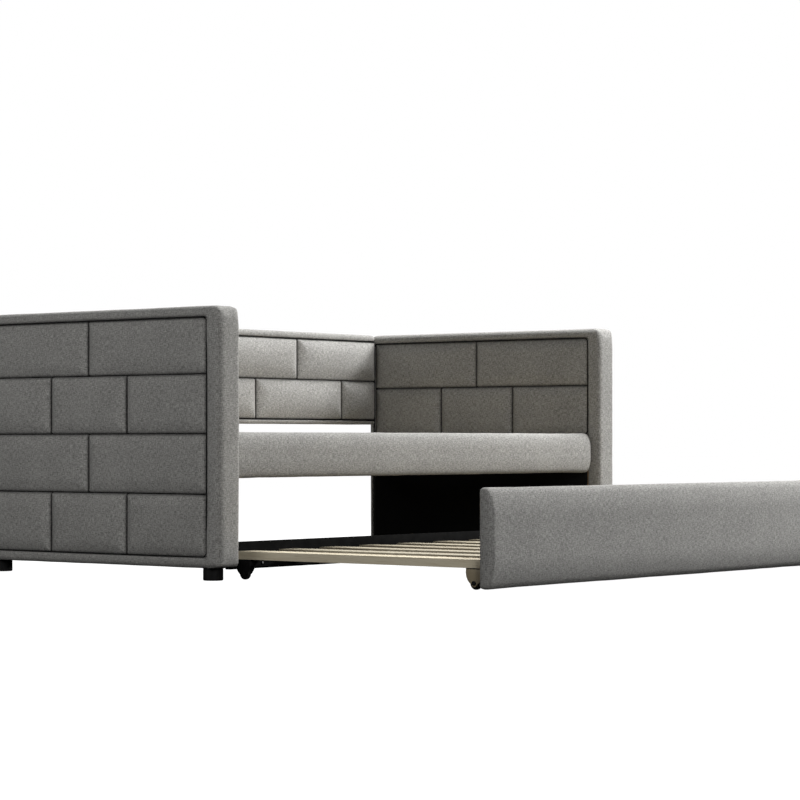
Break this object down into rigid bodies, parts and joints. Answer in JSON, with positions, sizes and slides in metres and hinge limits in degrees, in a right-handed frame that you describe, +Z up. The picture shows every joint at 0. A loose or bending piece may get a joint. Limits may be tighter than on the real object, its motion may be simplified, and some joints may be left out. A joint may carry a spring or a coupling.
{
  "type": "trundle bed",
  "caption": "Upholstered daybed with brick-tufted arms and back, slatted deck, and a slatted trundle with a padded front board that rolls out on casters.",
  "frame": {"origin": "on the floor, at the middle of the box round the bed and its pulled-out trundle", "axes": "+X along the bed to its right arm, +Y from the front to the back, +Z up"},
  "size_m": [2.16, 2.028, 0.838],
  "materials": {
    "grey_fabric": "woven linen look, matt",
    "black_lining": "non-woven, matt",
    "frame_wood": "sawn pine, raw",
    "plywood": "raw plywood",
    "slat_wood": "planed birch, satin",
    "fork_wood": "planed birch, satin",
    "black_board": "black laminate, satin",
    "zinc_steel": "zinc plated",
    "black_plastic": "moulded, matt"
  },
  "bodies": {
    "daybed": {"left_arm_frame": "frame_wood", "left_arm_face_boards": "plywood", "left_arm_mounting_board": "plywood", "left_arm_border": "grey_fabric", "left_arm_outer_bricks": "grey_fabric", "left_arm_inner_bricks": "grey_fabric", "left_arm_lining": "black_lining", "right_arm_frame": "frame_wood", "right_arm_face_boards": "plywood", "right_arm_mounting_board": "plywood", "right_arm_border": "grey_fabric", "right_arm_outer_bricks": "grey_fabric", "right_arm_inner_bricks": "grey_fabric", "right_arm_lining": "black_lining", "back_frame": "frame_wood", "back_face_board": "plywood", "back_border": "grey_fabric", "back_bricks": "grey_fabric", "back_rear_panel": "grey_fabric", "front_rail_core": "frame_wood", "front_rail_cover": "grey_fabric", "rear_rail_core": "frame_wood", "rear_rail_cover": "grey_fabric", "front_ledger": "frame_wood", "rear_ledger": "frame_wood", "bed_slats": "slat_wood", "bed_slat_screws": "zinc_steel", "ledger_screws": "zinc_steel", "rail_brackets": "zinc_steel", "rail_bolts": "zinc_steel", "bracket_screws": "zinc_steel", "back_panel_bolts": "zinc_steel", "feet": "black_plastic", "foot_studs": "zinc_steel"},
    "trundle": {"trundle_front_core": "frame_wood", "trundle_front_cover": "grey_fabric", "trundle_rear_board": "black_board", "trundle_left_side_rail": "slat_wood", "trundle_right_side_rail": "slat_wood", "trundle_slats": "slat_wood", "trundle_front_ledger": "slat_wood", "trundle_rear_ledger": "black_board", "trundle_slat_screws": "zinc_steel", "trundle_ledger_screws": "zinc_steel", "caster_plates": "black_plastic", "caster_forks": "fork_wood", "caster_axles": "black_plastic"},
    "front_left_wheel_body": {"front_left_wheel": "black_plastic"},
    "front_right_wheel_body": {"front_right_wheel": "black_plastic"},
    "rear_left_wheel_body": {"rear_left_wheel": "black_plastic"},
    "rear_right_wheel_body": {"rear_right_wheel": "black_plastic"}
  },
  "joints": [
    {"name": "trundle_slide", "type": "slide", "parent": "daybed", "child": "trundle", "axis": [0, -1, 0], "range_m": [-0.97, 0.3]},
    {"name": "front_left_wheel_spin", "type": "hinge", "parent": "trundle", "child": "front_left_wheel_body", "pos_m": [-0.926, -0.9313, 0.019], "axis": [1, 0, 0], "continuous": true},
    {"name": "front_right_wheel_spin", "type": "hinge", "parent": "trundle", "child": "front_right_wheel_body", "pos_m": [0.926, -0.9313, 0.019], "axis": [1, 0, 0], "continuous": true},
    {"name": "rear_left_wheel_spin", "type": "hinge", "parent": "trundle", "child": "rear_left_wheel_body", "pos_m": [-0.926, -0.0447, 0.019], "axis": [1, 0, 0], "continuous": true},
    {"name": "rear_right_wheel_spin", "type": "hinge", "parent": "trundle", "child": "rear_right_wheel_body", "pos_m": [0.926, -0.0447, 0.019], "axis": [1, 0, 0], "continuous": true}
  ],
  "couplings": [
    {"joint": "front_left_wheel_spin", "follows": "trundle_slide", "rad_per_m": 52.632},
    {"joint": "front_right_wheel_spin", "follows": "trundle_slide", "rad_per_m": 52.632},
    {"joint": "rear_left_wheel_spin", "follows": "trundle_slide", "rad_per_m": 52.632},
    {"joint": "rear_right_wheel_spin", "follows": "trundle_slide", "rad_per_m": 52.632}
  ]
}
